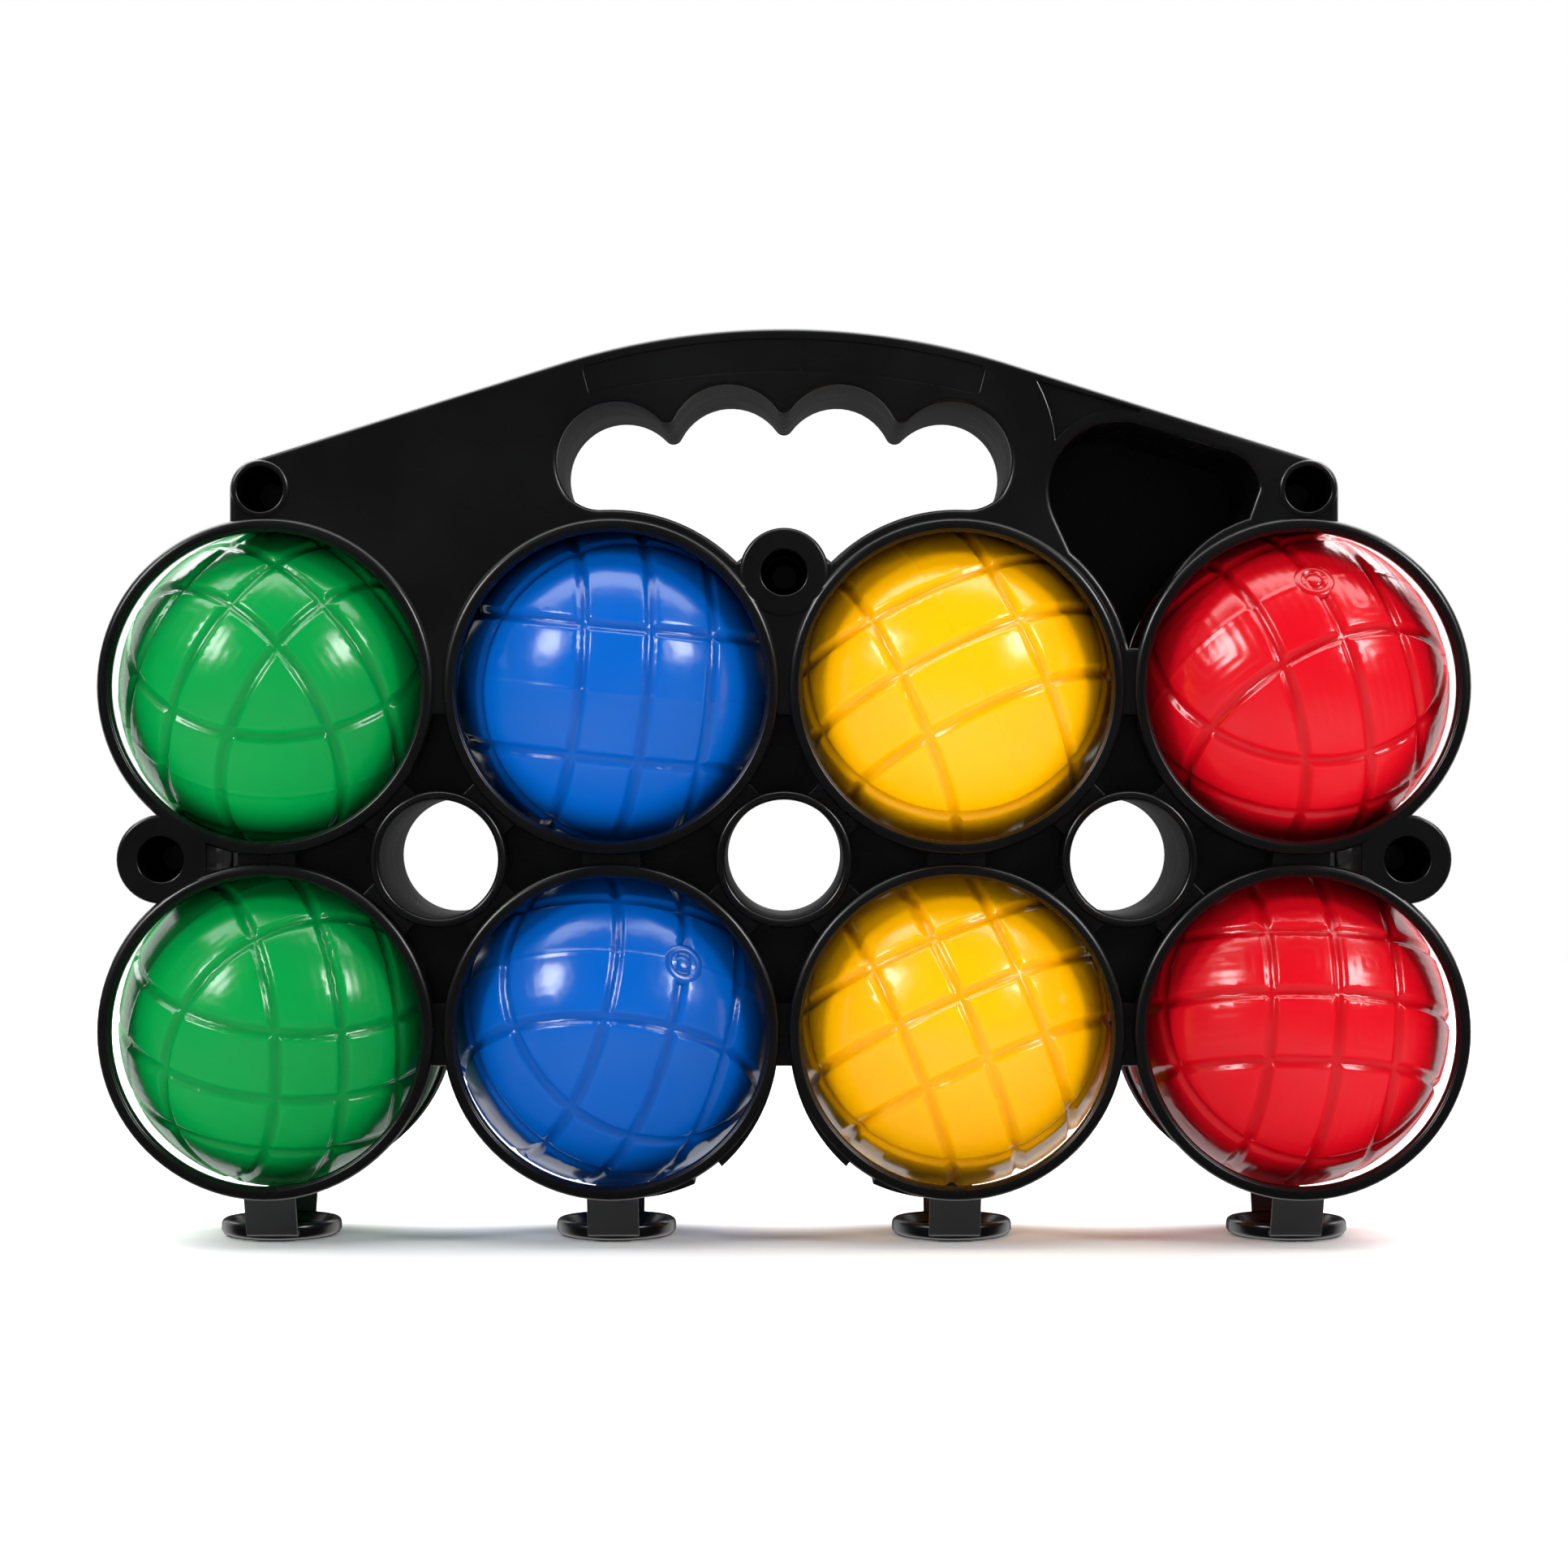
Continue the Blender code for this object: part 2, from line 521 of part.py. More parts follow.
def build():
    clear_scene()
    carrier_plastic = plastic("carrier_polypropylene", (0.004, 0.004, 0.0045), 0.32)
    filling = plastic("ball_filling", (0.55, 0.62, 0.66), 0.2)
    ball_plastics = {
        "green": plastic("ball_green_pe", (0.0, 0.40, 0.065), 0.18),
        "blue": plastic("ball_blue_pe", (0.0, 0.14, 0.69), 0.18),
        "yellow": plastic("ball_yellow_pe", (1.0, 0.57, 0.0), 0.18),
        "red": plastic("ball_red_pe", (0.86, 0.003, 0.01), 0.18),
    }

    case = pivot_empty("back_case_origin", (0, 0, 0))
    feet_hinge = pivot_empty("feet_hinge", FEET_PIVOT, case)
    front_hinge = pivot_empty("front_hinge", FRONT_PIVOT, feet_hinge)

    finish(make_back_half(), carrier_plastic, case)
    finish(make_front_half(), carrier_plastic, front_hinge)
    for number, x in enumerate(COLUMN_X, start=1):
        finish(make_foot(number, x), carrier_plastic, feet_hinge)

    for row, z in (("upper", UPPER_Z), ("lower", LOWER_Z)):
        for colour, x in zip(BALL_COLOURS, COLUMN_X):
            name = f"{colour}_ball_{row}"
            centre = pivot_empty(name + "_centre", (x, 0, z), case)
            shell, plug, core = make_ball(name, PLUG_DIRECTIONS[name])
            for piece, material in ((shell, ball_plastics[colour]), (plug, ball_plastics[colour]),
                                    (core, filling)):
                piece.data.transform(Matrix.Translation((x, 0, z)))
                finish(piece, material, centre)


build()
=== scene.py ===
"""Looks of the bocce ball set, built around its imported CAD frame. Metres, +Z up, front at -Y."""
import json
import math

import bpy
from mathutils import Matrix, Vector


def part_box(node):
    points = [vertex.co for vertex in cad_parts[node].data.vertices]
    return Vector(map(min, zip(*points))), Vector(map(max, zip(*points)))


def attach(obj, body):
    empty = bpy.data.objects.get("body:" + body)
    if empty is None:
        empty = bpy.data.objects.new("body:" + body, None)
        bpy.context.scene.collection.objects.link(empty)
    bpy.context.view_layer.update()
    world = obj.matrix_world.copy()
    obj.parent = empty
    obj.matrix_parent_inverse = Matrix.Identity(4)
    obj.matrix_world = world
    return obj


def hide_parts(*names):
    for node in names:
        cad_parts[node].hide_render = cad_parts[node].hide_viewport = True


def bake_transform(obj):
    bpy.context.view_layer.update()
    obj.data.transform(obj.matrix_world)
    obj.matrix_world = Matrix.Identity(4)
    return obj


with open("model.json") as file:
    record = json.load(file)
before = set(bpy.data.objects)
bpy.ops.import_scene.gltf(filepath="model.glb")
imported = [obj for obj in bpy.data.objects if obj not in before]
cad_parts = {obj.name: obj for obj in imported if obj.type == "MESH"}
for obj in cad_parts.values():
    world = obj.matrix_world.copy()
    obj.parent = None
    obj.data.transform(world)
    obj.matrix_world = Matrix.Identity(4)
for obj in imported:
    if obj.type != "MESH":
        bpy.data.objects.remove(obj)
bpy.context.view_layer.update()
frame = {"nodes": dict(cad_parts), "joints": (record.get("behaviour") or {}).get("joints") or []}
MM = 0.001

# ---- Places taken from the frame ----
COLOURS = ["green", "blue", "yellow", "red"]
ROWS = ["upper", "lower"]
BALLS = [f"{colour}_ball_{row}" for row in ROWS for colour in COLOURS]
HINGES = {joint["name"]: Vector(joint["pos_m"]) for joint in frame["joints"]
          if joint["name"].endswith("hinge")}


def middle_of(node):
    low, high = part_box(node)
    return (low + high) / 2


BALL_CENTRES = {name: middle_of(name + "_shell") for name in BALLS}
FOOT_CENTRES = [middle_of(f"foot_{number}") for number in range(1, 5)]
COLUMN_X = [foot.x for foot in FOOT_CENTRES]
UPPER_Z = BALL_CENTRES["green_ball_upper"].z
LOWER_Z = BALL_CENTRES["green_ball_lower"].z
OUTER_X = COLUMN_X[-1]
MIDDLE_Z = (UPPER_Z + LOWER_Z) / 2
PITCH = UPPER_Z - LOWER_Z
HALF_DEPTH = -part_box("front_half")[0].y
MATING = -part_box("front_half")[1].y
HOOP_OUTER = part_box("front_half")[1].x - OUTER_X
FOOT_LOW, FOOT_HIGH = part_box("foot_1")

# ---- Sizes of the mouldings ----
BALL_RADIUS = 40 * MM
BALL_ROOM = 0.75 * MM
HOOP_WALL = 3.4 * MM
HOOP_BORE = HOOP_OUTER - HOOP_WALL
HOOP_SEAT = 16.5 * MM
HOOP_END = 13.0 * MM
ROOM_END = HOOP_SEAT - 0.2 * MM
WALL = 2.2 * MM
FACE_WALL = 2.5 * MM
BURY = 0.4 * MM                 # how far joined walls reach into each other
PAST = 1.0 * MM                 # how far a cutter runs past what it cuts
PLATE_DEPTH = HALF_DEPTH - 1.0 * MM
BOSS_DEPTH = HALF_DEPTH - 0.5 * MM
ARM_DEPTH = BOSS_DEPTH - 0.15 * MM
BRIDGE_DEPTH = HALF_DEPTH - 2.8 * MM
WEB_DEPTH = HALF_DEPTH - 9.0 * MM
POCKET_FLOOR_DEPTH = HALF_DEPTH - 2.5 * MM
EDGE_ROUND = 1.4 * MM
LIP_ROUND = 1.2 * MM
BOSS_ROUND = 1.0 * MM
ARM_ROUND = 0.8 * MM
BRIDGE_ROUND = 0.5 * MM
LABEL_DEPTH = 0.45 * MM
RECESS_DEPTH = 0.9 * MM
TUBE_OUTER = 16.5 * MM
SOCKET_RADIUS = 5.5 * MM
SOCKET_LIP = 0.5 * MM
SOCKET_FLOOR = 8 * MM           # of the back half's sockets, from the middle plane
PEG_PLAY = 0.8 * MM
BOSS_RADIUS = 10.7 * MM
CORNER_BOSS_RADIUS = 7.4 * MM
ARM_HALF_HEIGHT = 10.6 * MM
ARM_REACH = 11 * MM
FINGER_PITCH = 26.8 * MM
FINGER_RADIUS = 14.3 * MM
TOOTH_RADIUS = 2.3 * MM
GRIP_HEIGHT = 13.1 * MM
HOLLOW_END = 218                # degrees round the outer finger hollow, where the end begins
SILL_RADIUS = 42.5 * MM
SILL_START = 92                 # degrees round a hoop, where the hand hole's sill begins
HANDLE_ARC = 180 * MM
POCKET_RADIUS = 16.4 * MM
POCKET_END_RADIUS = 9.7 * MM
POCKET_BESIDE_HOLE = 9.4 * MM
POCKET_BELOW_EDGE = 3.6 * MM
POCKET_END_INSET = 20.3 * MM    # from the outer column in to the middle of the outer end
POCKET_SLOPE = 72               # degrees, where the pocket's two ends are joined
BRIDGE_HALF_WIDTH = 7 * MM
BRIDGE_REACH = 3.2 * MM
STRAP_WIDTH = 12.5 * MM
STRAP_THICKNESS = 1.2 * MM
STRAP_SETBACK = 7.2 * MM        # where a strap leaves its hoop, from the hoop's rim
STRAP_BEND = 1.3 * MM
STRAP_OUTSIDE = 1.6 * MM        # from the hinge line out to the strap's upright part
STRAP_IN_FOOT = 1.6 * MM
# Where a strap starts and stops bending: outwards and upwards from its hinge line.
STRAP_BLEND_START = (1.9 * MM, 2.2 * MM)
STRAP_BLEND_END = (-0.6 * MM, -0.3 * MM)
# Fins beside the middle lower hoops: first and last angle, and how far each end stands out in mm.
FINS = [(-12, -50.5, 0.0, 1.25), (-61, -78, 1.05, 0.0)]

CENTRE_BOSS = (0.0, UPPER_Z + 27.4 * MM)
SIDE_BOSS_X = OUTER_X + 25.1 * MM
CORNER_BOSS = (OUTER_X + 1.3 * MM, UPPER_Z + 47.35 * MM)
TUBES = [(x, MIDDLE_Z) for x in (-PITCH, 0.0, PITCH)]
BOSSES = [CENTRE_BOSS, (-SIDE_BOSS_X, MIDDLE_Z), (SIDE_BOSS_X, MIDDLE_Z),
          (-CORNER_BOSS[0], CORNER_BOSS[1]), CORNER_BOSS]
RINGS = [(x, z) for z in (UPPER_Z, LOWER_Z) for x in COLUMN_X]
PLATE_BOTTOM = UPPER_Z - 7 * MM
WEB_TOP = PLATE_BOTTOM + 1.1 * MM
WEB_BOTTOM = LOWER_Z - 8.3 * MM
UPPER_BRIDGE_TOP = UPPER_Z + 3.4 * MM
LOWER_BRIDGE_TOP = LOWER_Z + 7 * MM
FINGERS = [(step - 1.5) * FINGER_PITCH for step in range(4)]
HANDLE_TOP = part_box("front_half")[1].z
ARC_CENTRE_Z = HANDLE_TOP - HANDLE_ARC


# ---- Hand tools ----
def deselect():
    bpy.ops.object.select_all(action="DESELECT")


def pick(piece):
    """Makes one piece the selected and active one."""
    deselect()
    piece.select_set(True)
    bpy.context.view_layer.objects.active = piece
    return piece


def circle_through(name, corners, fill="NGON"):
    """A circle whose corners are then moved to the ones given."""
    deselect()
    bpy.ops.mesh.primitive_circle_add(vertices=len(corners), fill_type=fill)
    piece = bpy.context.object
    piece.name = piece.data.name = name
    for vertex, corner in zip(piece.data.vertices, corners):
        vertex.co = corner
    return piece


def edit_all(piece, select="FACE"):
    pick(piece)
    bpy.ops.object.mode_set(mode="EDIT")
    bpy.ops.mesh.select_mode(type=select)
    bpy.ops.mesh.select_all(action="SELECT")


def leave_edit():
    """Turns every face outwards and goes back to object mode."""
    bpy.ops.mesh.select_all(action="SELECT")
    bpy.ops.mesh.normals_make_consistent(inside=False)
    bpy.ops.object.mode_set(mode="OBJECT")


def carried(name, outline, start, levels):
    """An outline in the XZ plane carried along Y: each level is an inset and the Y it goes to."""
    piece = circle_through(name, [(x, start, z) for x, z in outline])
    edit_all(piece)
    level = start
    for inset, to in levels:
        step = (0, to - level, 0)
        if inset:
            bpy.ops.mesh.inset(thickness=inset, depth=0)
            bpy.ops.transform.translate(value=step)
        else:
            bpy.ops.mesh.extrude_region_move(TRANSFORM_OT_translate={"value": step})
        level = to
    leave_edit()
    return piece


def rounded_edge(radius, side, depth, steps=4):
    """Levels of a quarter round at a solid's outer edge, which ends at this depth."""
    angles = [math.pi / 2 * step / steps for step in range(steps + 1)]
    levels = [(0, side * (depth - radius))]
    for before, angle in zip(angles, angles[1:]):
        levels.append((radius * (math.cos(before) - math.cos(angle)),
                       side * (depth - radius * (1 - math.sin(angle)))))
    return levels


def rounded_lip(radius, side, depth, steps=4):
    """Levels of a cutter that rounds the rim of its hole, from the face at this depth inwards."""
    angles = [math.pi / 2 * step / steps for step in range(steps + 1)]
    levels = [(0, side * depth)]
    for before, angle in zip(angles, angles[1:]):
        levels.append((radius * (math.sin(angle) - math.sin(before)),
                       side * (depth - radius * (1 - math.cos(angle)))))
    return levels


def turned(name, profile, place, axis="Y", steps=72):
    """A profile of (radius, height) corners turned about an axis through a place."""
    along = {"Y": Vector((0, 1, 0)), "Z": Vector((0, 0, 1))}[axis]
    place = Vector(place)
    corners = [place + Vector((radius, 0, 0)) + along * height for radius, height in profile]
    piece = circle_through(name, corners, fill="NOTHING")
    edit_all(piece, "VERT")
    bpy.ops.mesh.spin(steps=steps, angle=math.tau, center=place, axis=along)
    bpy.ops.mesh.select_all(action="SELECT")
    bpy.ops.mesh.remove_doubles(threshold=0.002 * MM)
    leave_edit()
    return piece


def gather(pieces):
    """Joins pieces that don't touch into one object."""
    pick(pieces[0])
    for piece in pieces:
        piece.select_set(True)
    bpy.ops.object.join()
    return pieces[0]


def boolean(target, operation, tool):
    """Joins or cuts with one tool; the manifold solver keeps the many round walls closed."""
    pick(target)
    modifier = target.modifiers.new("join", "BOOLEAN")
    modifier.solver = "MANIFOLD"
    modifier.operation = operation
    modifier.object = tool
    bpy.ops.object.modifier_apply(modifier=modifier.name)
    bpy.data.objects.remove(tool)
    return target


def smooth(piece, angle=38):
    """Shades smooth and lets the large flat faces rule the normals beside their round edges."""
    pick(piece)
    bpy.ops.object.shade_smooth_by_angle(angle=math.radians(angle))
    modifier = piece.modifiers.new("flat faces", "WEIGHTED_NORMAL")
    modifier.keep_sharp = True
    bpy.ops.object.modifier_apply(modifier=modifier.name)
    return piece


def finish_piece(piece, name, body, material, slot, *nodes):
    """Names a piece, gives it its finish, and hangs it on its body in place of CAD nodes.

    A strap has no body of its own.
    """
    piece.name = piece.data.name = name
    piece.data.materials.clear()
    piece.data.materials.append(material)
    if body is not None:
        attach(piece, body)
    if nodes:
        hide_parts(*nodes)
    return piece


# ---- Outlines in the XZ plane ----
def ease(share):
    share = min(max(share, 0.0), 1.0)
    return share * share * (3 - 2 * share)


def on_circle(x, z, radius, degrees):
    turn = math.radians(degrees)
    return x + radius * math.cos(turn), z + radius * math.sin(turn)


def arc(x, z, radius, start, end, steps):
    """Points along part of a circle, both ends included; angles in degrees."""
    return [on_circle(x, z, radius, start + (end - start) * step / steps)
            for step in range(steps + 1)]


def bent(start, control, end, shares):
    """Points at shares of a curve between two ends, drawn towards a control point."""
    return [tuple((1 - t) ** 2 * a + 2 * t * (1 - t) * b + t ** 2 * c
                  for a, b, c in zip(start, control, end)) for t in shares]


def circle(x, z, radius, steps=72):
    return arc(x, z, radius, 0, 360 * (steps - 1) / steps, steps - 1)


def rectangle(left, right, low, high):
    return [(left, low), (right, low), (right, high), (left, high)]


def mirrored(points):
    return [(-x, z) for x, z in reversed(points)]


def handle_top(x):
    return ARC_CENTRE_Z + math.sqrt(HANDLE_ARC ** 2 - x ** 2)


def finger_hollow(x):
    return x, handle_top(x) - GRIP_HEIGHT - FINGER_RADIUS


def jack_middle():
    """Middle of the pocket's large end, beside the hand hole and under the handle's edge."""
    x = FINGERS[-1] + FINGER_RADIUS + POCKET_BESIDE_HOLE + POCKET_RADIUS
    return x, handle_top(x) - POCKET_BELOW_EDGE - POCKET_RADIUS


def plate(inset=0.0):
    """Handle arc, straight shoulders, round corners and upright sides."""
    x, z = CORNER_BOSS
    radius = CORNER_BOSS_RADIUS - inset
    reach = math.hypot(x, z - ARC_CENTRE_Z)
    slope = math.degrees(math.atan2(z - ARC_CENTRE_Z, x)
                         + math.acos((HANDLE_ARC - CORNER_BOSS_RADIUS) / reach))
    right = arc(x, z, radius, 0, slope, 10)
    top = arc(0, ARC_CENTRE_Z, HANDLE_ARC - inset, slope, 180 - slope, 48)
    side = x + radius
    bottom = PLATE_BOTTOM + inset
    return (right + top + mirrored(right)
            + [(-side, UPPER_Z), (-OUTER_X, bottom), (OUTER_X, bottom), (side, UPPER_Z)])


def crossing(first, first_radius, second, second_radius, upper=True):
    """Point where two circles cross, or the one between them where they stay apart."""
    first, second = Vector(first), Vector(second)
    apart = second - first
    along = (apart.length_squared + first_radius ** 2 - second_radius ** 2) / (2 * apart.length)
    across = math.sqrt(max(first_radius ** 2 - along ** 2, 0.0)) * (1 if upper else -1)
    unit = apart.normalized()
    return first + unit * along + Vector((-unit.y, unit.x)) * across


def angle_at(centre, point):
    return math.degrees(math.atan2(point[1] - centre[1], point[0] - centre[0]))


def hand_hole(grow=0.0):
    """Finger hollows with round teeth above, and a sill around two hoops and the centre boss."""
    radius, tooth, sill = FINGER_RADIUS + grow, TOOTH_RADIUS - grow, SILL_RADIUS - grow
    hollows = [finger_hollow(x) for x in FINGERS]
    hoop = (COLUMN_X[1], UPPER_Z)
    points = []
    # From the middle leftwards: half of the teeth and two hollows, then the end and the sill.
    for (x, z), left in ((hollows[1], hollows[0]), (hollows[0], None)):
        right = finger_hollow(x + FINGER_PITCH)
        between = crossing((x, z), radius + tooth, right, radius + tooth)
        start = angle_at((x, z), between)
        turn = angle_at(between, (x, z))
        if left is None:
            points += arc(x, z, radius, start, HOLLOW_END, 26)
            continue
        points += arc(*between, tooth, -90, turn, 4)[:-1]
        following = crossing(left, radius + tooth, (x, z), radius + tooth)
        end = angle_at((x, z), following)
        points += arc(x, z, radius, start, end, 16)
        points += arc(*following, tooth, angle_at(following, (x, z)),
                      angle_at(following, left) - (360 if angle_at(following, left) > 0 else 0),
                      8)[1:-1]
    meeting = crossing(hollows[0], radius, hoop, sill, upper=False)
    points += bent(points[-1], meeting, on_circle(*hoop, sill, SILL_START),
                   [step / 6 for step in range(1, 6)])
    notch = crossing(hoop, SILL_RADIUS, CENTRE_BOSS, BOSS_RADIUS)
    points += arc(*hoop, sill, SILL_START, angle_at(hoop, notch), 18)
    points += arc(*CENTRE_BOSS, BOSS_RADIUS - grow, angle_at(CENTRE_BOSS, notch), 90, 10)[1:]
    return points[:-1] + mirrored(points)[:-1]


def pocket(grow=0.0):
    """Jack pocket: two round ends and a throat that narrows between two hoops."""
    jack_x, z = jack_middle()
    # The throat's outer side follows the outer hoop and draws in 2 mm on its way down.
    right = []
    for step in range(13):
        angle = 107 + 61 * step / 12
        reach = SILL_RADIUS - 2 * MM * ease((angle - 112) / 40) - grow
        right.append(on_circle(OUTER_X, UPPER_Z, reach, angle))
    return (arc(jack_x, z, POCKET_RADIUS + grow, 205, POCKET_SLOPE, 24)
            + arc(OUTER_X - POCKET_END_INSET, z, POCKET_END_RADIUS + grow, POCKET_SLOPE, 0, 12)
            + right + arc(COLUMN_X[2], UPPER_Z, SILL_RADIUS - grow, 11.5, 50, 10))


def label_panel():
    """Shallow arched panel under the handle's top edge."""
    margin, half_angle = 2.4 * MM, 15.9
    drop, half = 5.6 * MM, 46.9 * MM
    low_z = handle_top(0) - 10.6 * MM
    top = arc(0, ARC_CENTRE_Z, HANDLE_ARC - margin, 90 - half_angle, 90 + half_angle, 24)
    bottom_radius = (half ** 2 + drop ** 2) / (2 * drop)
    spread = math.degrees(math.asin(half / bottom_radius))
    bottom = arc(0, low_z - bottom_radius, bottom_radius, 90 + spread, 90 - spread, 24)
    return rounded_corners(top + bottom, 1.6 * MM)


def corner_recess():
    """Three-sided recess between the shoulder and the pocket."""
    jack = jack_middle()
    beside = POCKET_RADIUS + 2.7 * MM
    # The outer end is a little blunt, so that the cutter's rounded lip has room to turn.
    low = arc(*jack, beside, 143, 90, 10)
    low += [on_circle(*jack, beside, 74), on_circle(*jack, beside + 1.1 * MM, 73)]
    tip = (60.3 * MM, 208.6 * MM)
    first = low[0]
    bulge = (first[0] - 0.6 * MM, (first[1] + tip[1]) / 2)
    return rounded_corners(bent(tip, bulge, first, (0, 0.25, 0.5, 0.75)) + low, 0.4 * MM)


def rounded_corners(points, radius):
    """Rounds each sharp corner of an outline, as far as its two sides leave room."""
    made = []
    count = len(points)
    for step, point in enumerate(points):
        here = Vector(point)
        before = Vector(points[step - 1]) - here
        after = Vector(points[(step + 1) % count]) - here
        if before.angle(after) > math.radians(150):
            made.append(point)
            continue
        reach = min(radius / math.tan(before.angle(after) / 2), before.length * 0.45,
                    after.length * 0.45)
        start = here + before.normalized() * reach
        end = here + after.normalized() * reach
        made += bent(start, here, end, (0, 0.25, 0.5, 0.75, 1))
    return made


# ---- Parts of a half case; depths are distances from the middle plane ----
def prism(name, outline, side, far, near):
    return carried(name, outline, side * near, [(0, side * far)])


def hole_cutter(name, outline_at, side, depth, lip):
    """Cutter for a hole right through, with a rounded rim in the face at this depth."""
    levels = rounded_lip(lip, side, depth) + [(0, -side * PAST)]
    return carried(name, outline_at(lip), side * (depth + PAST), levels)


def recess_cutter(name, outline, side, depth, deep, lip=0.25 * MM):
    levels = rounded_lip(lip, side, depth, 2) + [(0, side * (depth - deep))]
    return carried(name, outline, side * (depth + PAST), levels)


def hollow(side):
    """Room behind the plate, around the walls that stay."""
    room = prism("room", plate(WALL), side, PLATE_DEPTH - FACE_WALL, -PAST)
    keep = [hand_hole(WALL), pocket(WALL)]
    keep += [circle(*centre, HOOP_OUTER - BURY) for centre in RINGS[:4]]
    keep += [circle(*centre, BOSS_RADIUS - BURY, 48) for centre in BOSSES[:3]]
    keep += [circle(*centre, CORNER_BOSS_RADIUS - BURY, 48) for centre in BOSSES[3:]]
    for outline in keep:
        boolean(room, "DIFFERENCE", prism("kept", outline, side, HALF_DEPTH, -2 * PAST))
    return room


def bridges(side):
    """Short blocks that tie hoops and tubes to each other, with rounded edges."""
    outlines = []
    for left in COLUMN_X[:-1]:
        sides = left + PITCH / 2 - BRIDGE_REACH, left + PITCH / 2 + BRIDGE_REACH
        outlines.append(rectangle(*sides, PLATE_BOTTOM, UPPER_BRIDGE_TOP))
        outlines.append(rectangle(*sides, WEB_BOTTOM, LOWER_BRIDGE_TOP))
    for x in COLUMN_X:
        outlines.append(rectangle(x - BRIDGE_HALF_WIDTH, x + BRIDGE_HALF_WIDTH,
                                  MIDDLE_Z - BRIDGE_REACH, MIDDLE_Z + BRIDGE_REACH))
    for tube in TUBES:
        for turn in range(4):
            angle = math.radians(45 + 90 * turn)
            along = Vector((math.cos(angle), math.sin(angle)))
            across = Vector((-along.y, along.x)) * BRIDGE_HALF_WIDTH
            # Each end is buried in the wall that it meets.
            near = Vector(tube) + along * (TUBE_OUTER - 1.6 * MM)
            far = Vector(tube) + along * (PITCH / math.sqrt(2) - HOOP_OUTER + 1.2 * MM)
            outlines.append([near - across, far - across, far + across, near + across])
    levels = rounded_edge(BRIDGE_ROUND, side, BRIDGE_DEPTH, 2)
    return gather([carried("bridge", outline, side * HOOP_END, levels) for outline in outlines])


HOOP_PROFILE = [
    # radius from the hoop's outer wall inwards, depth from its rim, in millimetres
    (0.15, 12.5), (0.0, 7.0), (0.0, 1.6), (0.12, 1.0), (0.45, 0.5), (0.95, 0.15), (1.5, 0.0),
    (2.2, 0.0), (2.55, 0.1), (2.75, 0.3), (2.85, 0.62), (3.15, 0.8), (3.4, 1.3), (3.4, 3.0),
    (2.6, 4.2), (1.5, 7.0), (1.15, 12.2), (0.85, 12.5),
]
TUBE_PROFILE = [
    (0.0, 28.85), (0.0, 1.3), (0.15, 0.7), (0.5, 0.25), (1.0, 0.1), (1.3, 0.2), (1.45, 0.5),
    (1.55, 1.0), (1.9, 1.15), (2.2, 1.6), (2.2, 28.85),
]


def ring(name, profile, outer, centre, side, steps):
    corners = [(outer - inwards * MM, side * (HALF_DEPTH - deep * MM)) for inwards, deep in profile]
    return turned(name, corners, (centre[0], 0, centre[1]), steps=steps)


def boss(centre, radius, side):
    return carried("boss", circle(*centre, radius, 48), side * MATING,
                   rounded_edge(BOSS_ROUND, side, BOSS_DEPTH))


def fins(side):
    """Tapered fins on the facing lower sides of the two middle lower hoops."""
    made = []
    for mirror in (1, -1):
        centre_x = COLUMN_X[1] * mirror
        for start, end, first, last in FINS:
            outer = []
            for step in range(13):
                share = step / 12
                angle = math.radians(start + (end - start) * share)
                reach = HOOP_OUTER + (first + (last - first) * share) * MM
                outer.append((centre_x + mirror * reach * math.cos(angle),
                              LOWER_Z + reach * math.sin(angle)))
            inner = [(centre_x + mirror * (HOOP_OUTER - 1.5 * MM) * math.cos(math.radians(angle)),
                      LOWER_Z + (HOOP_OUTER - 1.5 * MM) * math.sin(math.radians(angle)))
                     for angle in (end, (start + end) / 2, start)]
            made.append(prism("fin", outer + inner, side, HALF_DEPTH - 1.2 * MM, HOOP_END + PAST))
    return gather(made)


def peg(centre):
    radius = SOCKET_RADIUS - PEG_PLAY
    tip = radius * 0.75
    profile = [(0, 4), (radius, 4), (radius, -4), (tip, -7.4), (tip - 0.6 * MM, -8), (0, -8)]
    corners = [(r, y * MM) for r, y in profile]
    return turned("peg", corners, (centre[0], 0, centre[1]), steps=36)


